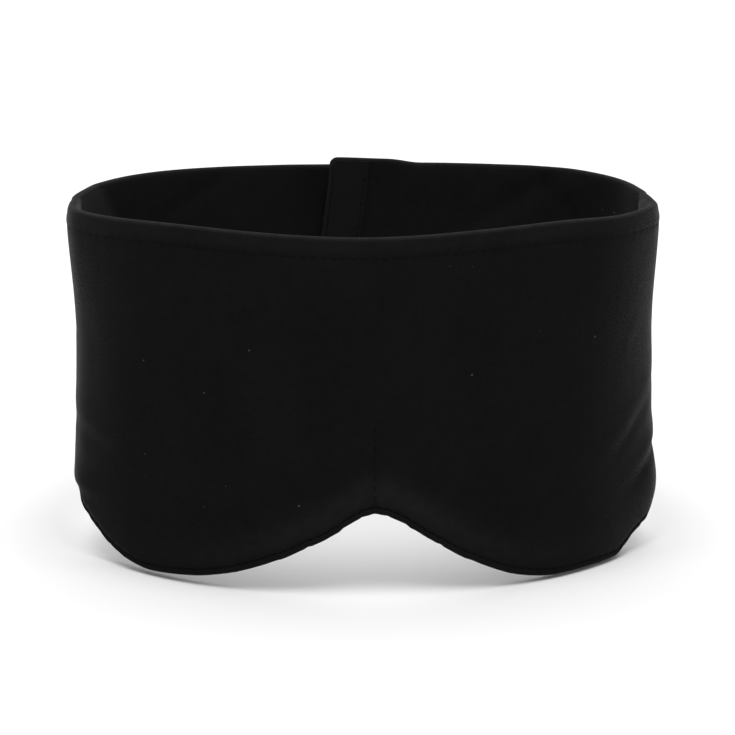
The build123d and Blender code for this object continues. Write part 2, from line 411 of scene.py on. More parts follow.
def layer(name, spots, line, thick, place):
    """Closed sheet of cloth swept along the wall. line gives its outer path as (depth, height)."""
    points, uvs, painted_highlight = [], [], []
    for distance in spots:
        path = np.array(line(distance))
        step = np.gradient(path, axis=0)
        length = np.maximum(np.linalg.norm(step, axis=1, keepdims=True), 1e-9)
        inward = np.stack([-step[:, 1], step[:, 0]], -1) / length
        inner = path + inward * thick
        run = np.concatenate([[0], np.cumsum(np.linalg.norm(np.diff(path, axis=0), axis=1))])
        section = np.concatenate([path, inner[::-1]])
        where = np.full(len(section), distance)
        points.append(place(where, section[:, 0], section[:, 1]))
        uvs.append(np.stack([where, np.concatenate([run, run[::-1]])], -1))
        # Share of paler colour painted on as highlight at each point of the section.
        painted_highlight.append(painted_highlight_share(where, section[:, 1]))
    rows, columns = len(spots), len(points[0])
    faces = grid_faces(rows, columns, True)
    for row, flip in ((0, False), (rows - 1, True)):
        base = row * columns
        for j in range(columns // 2 - 1):
            quad = (base + j, base + columns - 1 - j, base + columns - 2 - j, base + j + 1)
            faces.append(quad[::-1] if flip else quad)
    thing = mesh_object(name, np.concatenate(points), faces, np.concatenate(uvs), np.concatenate(painted_highlight))
    return facing_out(thing)


def painted_highlight_share(distance, height):
    """Share of paler colour painted on as a highlight: most on the fold of the rim, less over the hem and
    just above the lower edge, most of that at the notch.
    """
    below_rim = rim_at(distance) - height
    above = height - low_at(distance)
    # Painted highlight on the rim fold, a lighter painted band over the hem, and a lighter painted band
    # just above the lower edge, strongest at the nose notch.
    hem = 0.14 * (1 - smooth_step(below_rim, 0.003, HEM))
    edge = (0.10 + 0.32 * bump(distance, 0.0, 0.040)) * bump(above, 0.0075, 0.0055)
    return np.clip(bump(below_rim, 0.0, 0.0006) + hem + edge, 0, 1)


def facing_out(thing):
    """Turns a closed mesh's faces outward, and keeps its sharp edges sharp."""
    mesh = thing.data
    mesh.calc_loop_triangles()
    points = np.empty(len(mesh.vertices) * 3)
    mesh.vertices.foreach_get("co", points)
    corners = np.empty(len(mesh.loop_triangles) * 3, int)
    mesh.loop_triangles.foreach_get("vertices", corners)
    a, b, c = (points.reshape(-1, 3)[corners.reshape(-1, 3)[:, k]] for k in range(3))
    if (a * np.cross(b, c)).sum() < 0:
        mesh.flip_normals()
    mesh.set_sharp_from_angle(angle=SHARP_ANGLE)
    return thing


def stitch_row(name, runs, length=0.0024, gap=0.0007, radius=0.00021):
    """Row of separate stitches. Each run is a list of (point, outward direction) along a seam."""
    points, faces = [], []
    sides, rings = 6, 5
    t = np.linspace(-1, 1, rings)[:, None]
    for run in runs:
        spots = np.array([spot for spot, _ in run])
        outs = np.array([out for _, out in run])
        along = np.concatenate([[0], np.cumsum(np.linalg.norm(np.diff(spots, axis=0), axis=1))])
        start = gap
        while start + length < along[-1]:
            ring_places = np.linspace(start, start + length, rings)
            centre = np.stack([np.interp(ring_places, along, spots[:, k]) for k in range(3)], -1)
            out = np.stack([np.interp(ring_places, along, outs[:, k]) for k in range(3)], -1)
            centre = centre + out * (radius * 0.7 * (1 - t**2) - radius * 0.9)
            axis = np.gradient(centre, axis=0)
            axis /= np.linalg.norm(axis, axis=1, keepdims=True)
            across = np.cross(out, axis)
            faces += tube_faces(len(points), rings, sides)
            for i in range(rings):
                size = radius * (0.55 if i in (0, rings - 1) else 1.0)
                for k in range(sides):
                    a = 2 * math.pi * k / sides
                    points.append(centre[i] + size * (math.cos(a) * across[i] + math.sin(a) * out[i]))
            start += length + gap
    return facing_out(mesh_object(name, points, faces))


def seam_on(place, distances, depth, heights, outward=1.0):
    """Points and outward directions of a seam that runs over the face of a wall."""
    distances, depths, heights = np.broadcast_arrays(distances, depth, heights)
    step = 0.0004
    spots = place(distances, depths, heights)
    beside = place(distances + step, depths, heights)
    above = place(distances, depths, heights + step)
    out = np.cross(beside - spots, above - spots)
    out /= np.linalg.norm(out, axis=1, keepdims=True)
    sign = np.sign((out * (spots * [1, 1, 0])).sum(1, keepdims=True)) * outward
    return list(zip(spots, out * sign))


# -------- cloth simulation of the pad

class Relief:
    """Swelling of the padded front as simulated, kept as two grids over distance and height."""

    columns, rows = 93, 37

    def __init__(self):
        self.grids = [np.zeros((self.columns, self.rows)) for _ in range(2)]

    def read(self, side, distance, height):
        """Swelling of the outer face (side 0) or the inner one (side 1)."""
        grid = self.grids[side]
        low, rim = low_at(distance), rim_at(distance)
        share = np.clip((height - low) / (rim - low), 0, 1) * (self.rows - 1)
        column = np.clip((distance + SEAM) / (2 * SEAM), 0, 1) * (self.columns - 1)
        i = np.minimum(column.astype(int), self.columns - 2)
        j = np.minimum(share.astype(int), self.rows - 2)
        a, b = column - i, share - j
        a, b = a * a * (3 - 2 * a), b * b * (3 - 2 * b)
        return ((1 - a) * (1 - b) * grid[i, j] + a * (1 - b) * grid[i + 1, j]
                + (1 - a) * b * grid[i, j + 1] + a * b * grid[i + 1, j + 1])


relief = Relief()


def pad_weights(where, height, low, rim):
    """How firmly each point of the pad is held by its seams, and how much loose cloth it has."""
    away, above, below = np.abs(where), height - low, rim - height
    nose = 0.8 * bump(where, 0.0, 0.003) * (height < 0.062)
    grip = np.maximum.reduce([
        bump(above, 0.0, 0.0035), bump(below, 0.0, 0.0035), bump(below, HEM, 0.0022),
        bump(away, SEAM, 0.003), nose,
    ])
    loose = smooth_step(away, 0.070, 0.105) * (1 - smooth_step(height, 0.055, 0.085))
    return {"held": np.clip(0.06 + grip, 0, 1), "loose": loose}


def run_cloth(pad, frames=20):
    """Fills a closed mesh by pressure, with its held points kept, and returns its points."""
    cloth = pad.modifiers.new("Cloth", "CLOTH")
    values = {
        "quality": 5, "mass": 0.15, "tension_stiffness": 12, "compression_stiffness": 12,
        "bending_stiffness": 0.6, "use_pressure": True, "uniform_pressure_force": 4,
        "vertex_group_mass": "held", "pin_stiffness": 1.5,
        "vertex_group_shrink": "loose", "shrink_min": 0.0, "shrink_max": -0.10,
    }
    for key, value in values.items():
        setattr(cloth.settings, key, value)
    cloth.settings.effector_weights.gravity = 0
    cloth.collision_settings.use_collision = False
    scene = bpy.context.scene
    scene.frame_start, scene.frame_end = 1, frames
    for number in range(1, frames + 1):
        scene.frame_set(number)
    result = pad.evaluated_get(bpy.context.evaluated_depsgraph_get())
    moved = np.array([v.co for v in result.data.vertices])
    scene.frame_set(1)
    return moved


def simulate_pad():
    """Fills the front like a pad, held along its seams, and keeps how far its faces move."""
    inset, cap, fade = 0.0012, 0.0022, 0.002
    columns, rows = relief.columns, relief.rows
    count = columns * rows
    where = np.repeat(np.linspace(-SEAM, SEAM, columns), rows)
    low, rim = low_at(where), rim_at(where)
    height = low + np.tile(np.linspace(0, 1, rows), columns) * (rim - low)
    starts = [place_front(where, np.full(count, depth), height) for depth in (inset, FRONT_THICK - inset)]
    pad = facing_out(mesh_object("pad_sim", np.concatenate(starts), slab_faces(columns, rows)))
    for name, weights in pad_weights(where, height, low, rim).items():
        group = pad.vertex_groups.new(name=name)
        for index in range(2 * count):
            group.add([index], float(weights[index % count]), "REPLACE")
    moved = run_cloth(pad)

    _, _, nx, ny = outside.at(where)
    normal = np.stack([nx, ny, 0 * nx], -1)
    seams = bump(height - low, 0, fade) + bump(rim - height, 0, fade) + bump(np.abs(where), SEAM, fade)
    for side, sign in ((0, 1), (1, -1)):
        shift = moved[side * count:(side + 1) * count] - starts[side]
        push = cap * np.tanh(sign * (shift * normal).sum(1) / cap) * (1 - np.clip(seams, 0, 1))
        relief.grids[side] = push.reshape(columns, rows)
    bpy.data.meshes.remove(pad.data)


# -------- materials

YARN_RELIEF = 0.00008


class Nodes:
    """Short way to write a node tree."""

    def __init__(self, name):
        self.material = bpy.data.materials.new(name)
        self.material.use_nodes = True
        self.tree = self.material.node_tree
        self.tree.nodes.clear()
        self.shader = self.add("ShaderNodeBsdfPrincipled")
        self.add("ShaderNodeOutputMaterial", {"Surface": self.shader.outputs[0]})

    def add(self, kind, inputs=(), **values):
        """New node with its properties set, and its inputs set or linked."""
        node = self.tree.nodes.new(kind)
        for key, value in values.items():
            setattr(node, key, value)
        self.feed(node, inputs)
        return node

    def feed(self, node, inputs):
        for key, value in dict(inputs).items():
            if isinstance(value, bpy.types.NodeSocket):
                self.tree.links.new(value, node.inputs[key])
            else:
                node.inputs[key].default_value = value

    def calc(self, operation, *values):
        return self.add("ShaderNodeMath", enumerate(values), operation=operation).outputs[0]

    def times(self, a, b):
        return self.calc("MULTIPLY", a, b)

    def scaled(self, value, factor, plus):
        return self.calc("MULTIPLY_ADD", value, factor, plus)

    def split(self, kind, value):
        return self.add(kind, {0: value}).outputs

    def noise(self, vector, scale, detail=2.0, rough=0.5):
        inputs = {"Vector": vector, "Scale": scale, "Detail": detail, "Roughness": rough}
        return self.add("ShaderNodeTexNoise", inputs).outputs["Fac"]

    def ramp(self, value, low, high):
        inputs = {"Value": value, "From Min": low, "From Max": high}
        return self.add("ShaderNodeMapRange", inputs).outputs["Result"]

    def mix(self, share, a, b):
        return self.add("ShaderNodeMix", {"Factor": share, 6: a, 7: b}, data_type="RGBA").outputs[2]

    def bump(self, height, distance, strength=1.0, below=None):
        inputs = {"Height": height, "Distance": distance, "Strength": strength}
        if below is not None:
            inputs["Normal"] = below
        return self.add("ShaderNodeBump", inputs).outputs["Normal"]

    def surface(self, colour, rough, relief, specular=0.5, sheen=0.0, sheen_rough=0.5, sheen_tint=None):
        """Sets the shader and returns the material."""
        inputs = {"Base Color": colour, "Roughness": rough, "Specular IOR Level": specular,
                  "Sheen Weight": sheen, "Sheen Roughness": sheen_rough}
        if relief is not None:
            inputs["Normal"] = relief
        if sheen_tint is not None:
            inputs["Sheen Tint"] = sheen_tint
        self.feed(self.shader, inputs)
        return self.material

    def toned(self, pattern, tones, roughs, relief, **fixed):
        """Surface whose tone, roughness and relief all follow one pattern."""
        base = self.mix(pattern, *(grey(tone) for tone in tones))
        return self.surface(base, self.scaled(pattern, *roughs), self.bump(pattern, *relief), **fixed)

    def woven_place(self):
        return self.add("ShaderNodeUVMap", uv_map="weave").outputs["UV"]

    def solid_place(self):
        return self.add("ShaderNodeTexCoord").outputs["Object"]


def grey(value, warm=0.0):
    """Grey of a given brightness, a little warm if asked."""
    return (value * (1 + warm), value, value * (1 - warm), 1.0)


def knit_height(nodes, wale, course):
    """Relief of a jersey knit: columns of small V-shaped loops."""
    weave = nodes.split("ShaderNodeSeparateXYZ", nodes.woven_place())
    across = nodes.calc("FRACT", nodes.calc("DIVIDE", weave[0], wale))
    side = nodes.times(nodes.calc("ABSOLUTE", nodes.calc("SUBTRACT", across, 0.5)), 2.0)
    up = nodes.calc("DIVIDE", weave[1], course)
    phase = nodes.times(nodes.calc("ADD", up, nodes.times(side, 0.55)), 2 * math.pi)
    loops = nodes.scaled(nodes.calc("SINE", phase), 0.5, 0.5)
    column = nodes.calc("SUBTRACT", 1.0, nodes.calc("POWER", nodes.calc("SUBTRACT", 1.0, side), 6.0))
    edge = nodes.calc("SUBTRACT", 1.0, nodes.calc("POWER", side, 8.0))
    return nodes.times(nodes.times(loops, column), edge)


def lint_specks(nodes, scale=130, rarity=0.93, largest=0.05):
    """Share of a few small round specks scattered over the cloth."""
    lint = nodes.add("ShaderNodeTexVoronoi", {"Vector": nodes.woven_place(), "Scale": scale},
                     feature="F1", voronoi_dimensions="2D")
    chance = nodes.split("ShaderNodeSeparateColor", lint.outputs["Color"])
    chosen = nodes.calc("GREATER_THAN", chance[0], rarity)
    size = nodes.times(chance[1], largest)
    return nodes.times(chosen, nodes.calc("LESS_THAN", lint.outputs["Distance"], size))


def jersey(name, tone, wale=0.0007, course=0.0006, sheen=0.25, nap=0.25, highlight_tone_gain=4.0):
    """Black knit: V loops, raised nap, uneven dye, a few pale specks of lint, and a paler tone painted on
    as highlight where the mesh's highlight share asks for it.
    """
    nodes = Nodes(name)
    solid = nodes.solid_place()
    loops = knit_height(nodes, wale, course)
    fuzz = nodes.noise(solid, 5200, 3.0, 0.7)
    blotch = nodes.noise(solid, 38, 3.0, 0.6)
    streak = nodes.noise(solid, 310, 2.0, 0.6)
    shade = nodes.scaled(blotch, 0.55, nodes.scaled(streak, 0.3, 0.55))
    shade = nodes.times(shade, nodes.scaled(loops, 0.35, 0.8))
    base = nodes.mix(nodes.ramp(shade, 0.35, 1.35), grey(tone * 0.45), grey(tone * 1.75, 0.02))
    base = nodes.mix(lint_specks(nodes), base, grey(tone * 9))
    # Painted highlight: a paler tone mixed in by the mesh's painted share, broken up by the streaks.
    painted_highlight = nodes.add("ShaderNodeAttribute", attribute_name="painted_highlight").outputs["Fac"]
    painted_highlight = nodes.times(painted_highlight, nodes.scaled(streak, 0.9, 0.35))
    base = nodes.mix(painted_highlight, base, grey(tone * highlight_tone_gain))
    rough = nodes.ramp(nodes.calc("ADD", blotch, nodes.times(fuzz, 0.5)), -0.6, 1.9)
    rough = nodes.scaled(rough, 0.2, 0.72)
    weave = nodes.bump(fuzz, YARN_RELIEF, nap, nodes.bump(loops, YARN_RELIEF, 0.6))
    return nodes.surface(base, rough, weave, specular=0.02, sheen=sheen, sheen_rough=0.20,
                         sheen_tint=grey(0.9))


def thread_material():
    """Spun polyester thread: fine twist and a dull shine."""
    nodes = Nodes("black_thread")
    twist = nodes.noise(nodes.solid_place(), 3600, 2.0, 0.5)
    return nodes.toned(twist, (0.0025, 0.0055), (0.2, 0.65), (YARN_RELIEF, 0.6), specular=0.03)


def tape_material(name, tone, pitch):
    """Narrow woven tape: crossing yarns."""
    nodes = Nodes(name)
    weave = nodes.split("ShaderNodeSeparateXYZ", nodes.woven_place())
    yarns = [nodes.calc("SINE", nodes.times(weave[k], 2 * math.pi / pitch)) for k in (0, 1)]
    cross = nodes.scaled(nodes.times(yarns[0], yarns[1]), 0.5, 0.5)
    blotch = nodes.noise(nodes.solid_place(), 60, 2.0, 0.5)
    shade = nodes.scaled(blotch, 0.4, nodes.times(cross, 0.6))
    base = nodes.mix(shade, grey(tone * 0.5), grey(tone * 1.5))
    rough = nodes.scaled(cross, 0.15, 0.6)
    return nodes.surface(base, rough, nodes.bump(cross, YARN_RELIEF, 0.7), specular=0.06, sheen=0.04)


def pile_material(name, tone, scale):
    """Brushed pile or open foam: matted fibres at two scales."""
    nodes = Nodes(name)
    solid = nodes.solid_place()
    fine = nodes.noise(solid, scale, 4.0, 0.75)
    clump = nodes.noise(solid, scale / 7, 2.0, 0.5)
    shade = nodes.times(fine, nodes.scaled(clump, 0.8, 0.6))
    base = nodes.mix(nodes.ramp(shade, 0.2, 0.8), grey(tone * 0.4), grey(tone * 1.9))
    rough = nodes.scaled(fine, 0.15, 0.8)
    return nodes.surface(base, rough, nodes.bump(shade, 0.0003, 0.9), sheen=0.3, sheen_rough=0.6)


def nylon_material():
    """Moulded nylon hooks: smooth black plastic with faint scuffs."""
    nodes = Nodes("hook_nylon")
    scuff = nodes.noise(nodes.solid_place(), 900, 3.0, 0.6)
    return nodes.toned(scuff, (0.014, 0.034), (0.25, 0.3), (0.00005, 0.5))


def film_material():
    """Dull opaque film with soft creases."""
    nodes = Nodes("blackout_film")
    crease = nodes.noise(nodes.solid_place(), 140, 4.0, 0.7)
    return nodes.toned(crease, (0.006, 0.016), (0.3, 0.45), (0.0003, 0.5))


def floor_material():
    """Matt studio paper, very slightly uneven."""
    nodes = Nodes("studio_floor")
    tone = nodes.mix(nodes.noise(nodes.solid_place(), 3.0), grey(0.89), grey(0.91))
    return nodes.surface(tone, 0.9, None, specular=0.1)


def make_materials():
    """All materials, by slot."""
    return {
        "outer_jersey": jersey("outer_jersey", 0.0051),
        "lining_jersey": jersey("lining_jersey", 0.0086, wale=0.0006, course=0.0005,
                                sheen=0.065, nap=0.15, highlight_tone_gain=1.0),
        "binding": jersey("edge_binding", 0.0051, wale=0.0006, course=0.0006, sheen=0.12, nap=0.2),
        "thread": thread_material(),
        "facing_tape": tape_material("facing_tape", 0.0080, 0.0007),
        "elastic": tape_material("ribbed_elastic", 0.012, 0.0014),
        "loop_pile": pile_material("loop_pile", 0.012, 1500),
        "foam": pile_material("foam_cells", 0.04, 900),
        "blackout_film": film_material(),
        "hook_nylon": nylon_material(),
    }


materials = make_materials()


def finish_piece(thing, slot, *nodes, body=None):
    """Gives a piece the material of its slot, hides the CAD nodes it stands for and hangs it on the body it
    rides on.
    """
    thing.data.materials.append(materials[slot])
    if nodes:
        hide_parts(*nodes)
    if body:
        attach(thing, body)
    return thing


# -------- the padded front

def stations(first, last, step=0.0014, close=()):
    """Even steps between two distances, with finer ones near the given places."""
    spots = set(np.linspace(first, last, max(2, int(round(abs(last - first) / step)) + 1)))
    for centre, reach, fine in close:
        low, high = max(first, centre - reach), min(last, centre + reach)
        spots |= set(np.linspace(low, high, max(2, int((high - low) / fine) + 1)))
    spots = np.array(sorted(spots))
    keep = np.concatenate([[True], np.diff(spots) > 0.00012])
    keep[-1] = True
    return spots[keep]


def turn(centre, radius, first, last, steps):
    """Arc of a section path, as (depth, height)."""
    angles = np.linspace(first, last, steps)
    return [(centre[0] + radius * math.cos(a), centre[1] + radius * math.sin(a)) for a in angles]


def cover_line(distance):
    """Outer jersey: up the inside hem, over the thin rolled rim and down the outer face."""
    top, low = edges_at(distance)
    low += ROLL
    centre = RIM_INSET + RIM_RADIUS
    inner = centre + RIM_RADIUS
    inside = []
    for t in np.linspace(0, 1, 7)[:-1]:
        depth = FRONT_THICK + (inner - FRONT_THICK) * smooth_step(t, 0, 1)
        inside.append((depth, top - HEM + t * (HEM - RIM_RADIUS)))
    over = turn((centre, top - RIM_RADIUS), RIM_RADIUS, 0, math.pi, 15)
    fine = [(RIM_INSET * (1 - smooth_step(t, 0, 0.6)), top - RIM_RADIUS - t * (HEM + 0.002))
            for t in np.linspace(0, 1, 16)[1:]]
    face = [(0.0, z) for z in np.linspace(fine[-1][1] - 0.0012, low + 0.006, 48)]
    foot = [(0.0006 * smooth_step(t, 0.6, 1), low + 0.005 * (1 - t)) for t in np.linspace(0, 1, 12)]
    return inside + over + fine + face + foot


def lining_line(distance):
    """Lining of the front, from the rolled edge up to the hem, finer where it is pinched."""
    top, low = edges_at(distance)
    top, low, pinched = top - HEM - 0.0003, low + ROLL, low + ROLL + 0.005
    heights = np.concatenate([np.linspace(low, pinched, 9)[:-1], np.linspace(pinched, top, 44)])
    return [(FRONT_THICK, z) for z in heights]


def roll_line(distance):
    """Rolled lower edge, level with both faces."""
    low = float(low_at(distance))
    half, rise = FRONT_THICK / 2, ROLL + 0.0008
    return [(half + (half + 0.00005) * math.cos(a), low + rise - rise * math.sin(a))
            for a in np.linspace(math.pi + 0.1, -0.1, 19)]


def inner_sheet(depth, top_gap):
    """Path of a flat layer inside the wall."""

    def line(distance):
        top, low = edges_at(distance)
        return [(depth, z) for z in np.linspace(top - top_gap, low + ROLL + 0.001, 24)]

    return line


def elastic_line(distance):
    """Elastic braid inside the top hem."""
    top, _ = edges_at(distance)
    return [(0.0015, z) for z in np.linspace(top - 0.0016, top - HEM + 0.0004, 5)]


def area_of(spots, top_gap):
    """Area of the front's flat pattern, less the hem."""
    heights = rim_at(spots) - top_gap - low_at(spots) - ROLL
    return float(np.sum(np.diff(spots) * (heights[1:] + heights[:-1]) / 2))


def build_front():
    """Layers of the front, each a closed sheet swept from one side seam to the other."""
    whole = stations(-SEAM, SEAM, close=[(0.0, 0.006, 0.0004)])
    coarse = stations(-SEAM + 0.004, SEAM - 0.004, 0.0035)

    def front_layer(name, spots, line, thick, slot, node):
        return finish_piece(layer(name, spots, line, thick, place_front), slot, node, body="front")

    cover = front_layer("front_cover", whole, cover_line, CLOTH, "outer_jersey", "front_outer_panel")
    lining = front_layer("front_lining_cloth", whole, lining_line, CLOTH, "lining_jersey", "front_lining")
    foam_line, film_line = inner_sheet(0.0013, HEM + 0.0006), inner_sheet(0.0009, HEM)
    foam = front_layer("front_foam", coarse, foam_line, 0.0024, "foam", "front_foam_pad")
    film = front_layer("front_blackout_film", coarse, film_line, 0.0003,
                       "blackout_film", "front_blackout_layer")
    braid = front_layer("top_hem_elastic_braid", coarse, elastic_line, 0.0012, "elastic", "top_hem_elastic")
    roll = front_layer("lower_edge_roll", whole, roll_line, 0.0009, "binding", "lower_edge_binding")

    long, narrow, braid_width, roll_width = 2 * SEAM, 0.010, 0.0054, 0.0070
    for piece, tall, under, area in (
        (lining, RIM - HEM, foam, area_of(whole, HEM)),
        (film, RIM, foam, area_of(coarse, 0.003)),
        (braid, narrow, cover, long * braid_width),
        (roll, narrow, cover, long * roll_width),
    ):
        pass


def build_front_stitches():
    """Rows of stitches along the hem, the lower edge, the dart and the two side seams."""
    steps = np.linspace(-SEAM + 0.003, SEAM - 0.003, 700)
    hem = rim_at(steps) - HEM
    low = float(low_at(0.0))
    dart_rise = np.linspace(low + 0.0035, low + 0.029, 60)
    seam_rise = np.linspace(float(low_at(SEAM)) + 0.003, RIM - 0.008, 90)
    rows = {
        "top_hem": [seam_on(place_front, steps, 0.0, hem),
                    seam_on(place_front, steps, FRONT_THICK, hem + 0.0008, -1.0)],
        "lower_edge": [seam_on(place_front, steps, 0.0, low_at(steps) + ROLL + 0.0011)],
        "nose_dart": [seam_on(place_front, 0.0, 0.0, dart_rise)],
    }
    for side, word in ((-1, "left"), (1, "right")):
        rows[f"{word}_seam"] = [seam_on(place_front, side * (SEAM - 0.0022), 0.0, seam_rise)]
    for name, runs in rows.items():
        finish_piece(stitch_row(f"{name}_stitches", runs), "thread", f"{name}_stitching", body="front")


# -------- the bands

# How far the outer jersey wraps past the middle of a band's edge, in radians.
LIP = 0.62


def band_cover_line(distance):
    """Outer jersey of a band, wrapped over its top and bottom edges, at a signed distance."""
    top, low = edges_at(distance)
    radius = BAND_THICK / 2
    over = turn((radius, top - radius), radius, LIP, math.pi, 11)
    face = [(0.0, z) for z in np.linspace(top - radius - 0.0012, low + radius + 0.0012, 40)]
    under = turn((radius, low + radius), radius, math.pi, 2 * math.pi - LIP, 11)
    return over + face + under


def band_lining_line(distance):
    """Lining of a band, up to the edges of the outer jersey."""
    top, low = edges_at(distance)
    radius = BAND_THICK / 2
    gap = 0.03
    under = turn((radius, low + radius), radius, -LIP + gap, 0, 5)
    face = [(BAND_THICK, z) for z in np.linspace(low + radius + 0.001, top - radius - 0.001, 36)]
    return under + face + turn((radius, top - radius), radius, 0, LIP - gap, 5)


def band_core_line(distance):
    """Elastic web inside a band."""
    top, low = edges_at(distance)
    return [(0.0011, z) for z in np.linspace(top - 0.0022, low + 0.0022, 20)]


FOLD_X = tab_low.x
RIGHT_END = tucked.distance_of(right_low.x)
TAB_END = outside.distance_of(-tab_high.x)
FOLD = outside.distance_of(-FOLD_X)
TAB_START = FOLD - 0.016


def raised_end(away):
    """The tucked end stands a little above the rim: most at its tip, fading out along the band."""
    band_lift = 0.0012
    end_lift = right_high.z + 0.0003 - RIM - band_lift
    from_tip = RIGHT_END - away
    ridge = (1 - 0.35 * smooth_step(from_tip, 0.0, 0.024)) * (1 - smooth_step(from_tip, 0.020, 0.035))
    return band_lift * smooth_step(away, SEAM + 0.01, SEAM + 0.06) + end_lift * ridge


def slanted_end(away, height):
    """The tucked end leans, so that its tip is further in at the top."""
    back = -0.0034 * smooth_step(height, RIM - 0.034, RIM)
    return back * smooth_step(away, RIGHT_END - 0.040, RIGHT_END - 0.014)


def build_band(word, side, loop, span, bodies, bend, core="elastic", **ends):
    """Cover, lining and elastic of one stretch of band; the two points of bend are not used.

    ends is what place_band needs for a rounded, raised or slanted end.
    """
    first, last = span
    end_gap = 0.003 if ends else 0.0
    place = place_band(loop, side, **ends)
    fine = [(last, 0.004, 0.0003)] if ends else []
    spots = stations(first, last, 0.0016, close=fine + [(first, 0.004, 0.0006)])
    sparse = stations(first + 0.001, last - end_gap, 0.003)

    def band_layer(name, stops, line, thick, slot, node):
        piece = layer(f"{word}_{name}", stops, lambda distance: line(distance * side), thick, place)
        finish_piece(piece, slot, f"{word}_{node}")
        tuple(bend[0])
        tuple(bend[1])
        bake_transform(piece)
        return piece

    cover = band_layer("cover", spots, band_cover_line, CLOTH, "outer_jersey", "outer")
    lining = band_layer("lining_cloth", spots, band_lining_line, CLOTH * 0.8, "lining_jersey", "lining")
    web = band_layer("elastic_web", sparse, band_core_line, 0.0011, "elastic", core)
    width = float(np.mean(rim_at(spots) - low_at(spots * side)))
    flat = (last - first, RIM - float(low_at(first)))
    return place


def bend_behind_seam(loop, side):
    """Two points just behind a band's side seam."""
    bend = []
    for away in (0.001, 0.026):
        x, y, _, _ = loop.at(side * (SEAM + away))
        bend.append((float(x), float(y), 0.07))
    return bend


def build_bands():
    """Left band with its closure tab, and the right band, whose placing function is returned."""
    start = SEAM - 0.0020
    tab_bend = [(FOLD_X + step, BACK_Y, 0.08) for step in (-0.004, 0.005)]
    build_band("left_band", -1, outside, (start, TAB_START), ("front", "left_band"),
               bend_behind_seam(outside, -1))
    build_band("closure_tab", -1, outside, (TAB_START, TAB_END), ("left_band", "closure_tab"),
               tab_bend, core="core", end=TAB_END)
    return build_band("right_band", 1, tucked, (start, RIGHT_END), ("front", "right_band"),
                      bend_behind_seam(tucked, 1), end=RIGHT_END, lift=raised_end, slant=slanted_end)


# -------- the closure

hook_low, hook_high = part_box("hook_tape")
hook_low.x += 0.0015
FACING_WIDTH = facing_high.x - facing_low.x
FACING_DEPTH = BAND_THICK + 0.0005
TAPE_STITCH = {"length": 0.0022, "gap": 0.0006, "radius": 0.00019}
TUFT_WIDE, TUFT_TALL = 0.0005, 0.00052


def plate(name, low, high, cell=0.0009, edge=0.0003):
    """Upright tape with rounded edges: a fine grid on both faces."""
    columns = max(4, int((high.x - low.x) / cell))
    rows = max(4, int((high.z - low.z) / cell))
    points = []
    middle, half = (low.y + high.y) / 2, (high.y - low.y) / 2
    for sign in (1, -1):
        for x in np.linspace(low.x, high.x, columns):
            for z in np.linspace(low.z, high.z, rows):
                rim = min(x - low.x, high.x - x, z - low.z, high.z - z)
                drop = edge * (1 - math.sqrt(1 - (1 - min(rim / edge, 1)) ** 2))
                points.append((x, middle + sign * (half - drop), z))
    return facing_out(mesh_object(name, points, slab_faces(columns, rows)))


def hook_field(name, low, high, pitch=0.0013):
    """Rows of small bent nylon hooks standing out of a tape towards -Y."""
    margin, thick, sides = 0.002, 0.00009, 5
    bend = [(0, 0.0002), (0, -0.00025), (0.00008, -0.00042), (0.00022, -0.00045), (0.0003, -0.00033)]
    points, faces = [], []
    for i in range(int((high.x - low.x - 2 * margin) / pitch)):
        for j in range(int((high.z - low.z - 2 * margin) / pitch)):
            x = low.x + margin + pitch * (i + 0.5 * (j % 2))
            z = low.z + margin + pitch * j
            tilt = 1 if (i + j) % 2 else -1
            faces += tube_faces(len(points), len(bend), sides)
            for k, (side, out) in enumerate(bend):
                radius = thick * (1 - 0.1 * k)
                for a in np.arange(sides) * 2 * math.pi / sides:
                    up = tilt * side + radius * math.sin(a)
                    points.append((x + radius * math.cos(a), low.y + out, z + up))
    return facing_out(mesh_object(name, points, faces))


def rectangle_run(low, high, y, inset):
    """Closed seam round a tape on the back of the tab, as points and outward directions."""
    x0, x1 = low.x + inset, high.x - inset
    z0, z1 = low.z + inset, high.z - inset
    corners = [(x0, z0), (x1, z0), (x1, z1), (x0, z1), (x0, z0)]
    run = []
    for (xa, za), (xb, zb) in zip(corners, corners[1:]):
        steps = max(8, int(math.hypot(xb - xa, zb - za) / 0.001))
        for t in np.linspace(0, 1, steps, endpoint=False):
            run.append((np.array([xa + t * (xb - xa), y, za + t * (zb - za)]), np.array([0.0, 1.0, 0.0])))
    return run


def frame_on(place, depth, inset):
    """Four seams round the loop tape, which lies on the tucked end."""
    first, last = tucked.distance_of(loop_high.x) + inset, tucked.distance_of(loop_low.x) - inset
    bottom, top = loop_low.z + inset, loop_high.z - inset
    across, rise = np.linspace(first, last, 40), np.linspace(bottom, top, 60)
    runs = [seam_on(place, across, depth, z) for z in (bottom, top)]
    return runs + [seam_on(place, spot, depth, rise) for spot in (first, last)]


def facing_line(distance):
    """Facing strip laid over the inner face of the tucked end."""
    return [(FACING_DEPTH, z) for z in np.linspace(facing_low.z, RIM - 0.0012, 40)]


def loop_line(distance):
    """Loop tape on the outer face of the tucked end."""
    return [(-0.0008, z) for z in np.linspace(loop_high.z, loop_low.z, 110)]


def pile_on(place):
    """Placing function with the small tufts of a loop pile."""
    tufts = np.random.default_rng(11).normal(0, 1, (64, 128))
    tufts = (tufts + np.roll(tufts, 1, 0) + np.roll(tufts, 1, 1)) / 3

    def tufted(distance, depth, height):
        i, j = (distance / TUFT_WIDE).astype(int) % 64, (height / TUFT_TALL).astype(int) % 128
        return place(distance, depth - 0.00009 * tufts[i, j] * (depth < -0.0004), height)

    return tufted


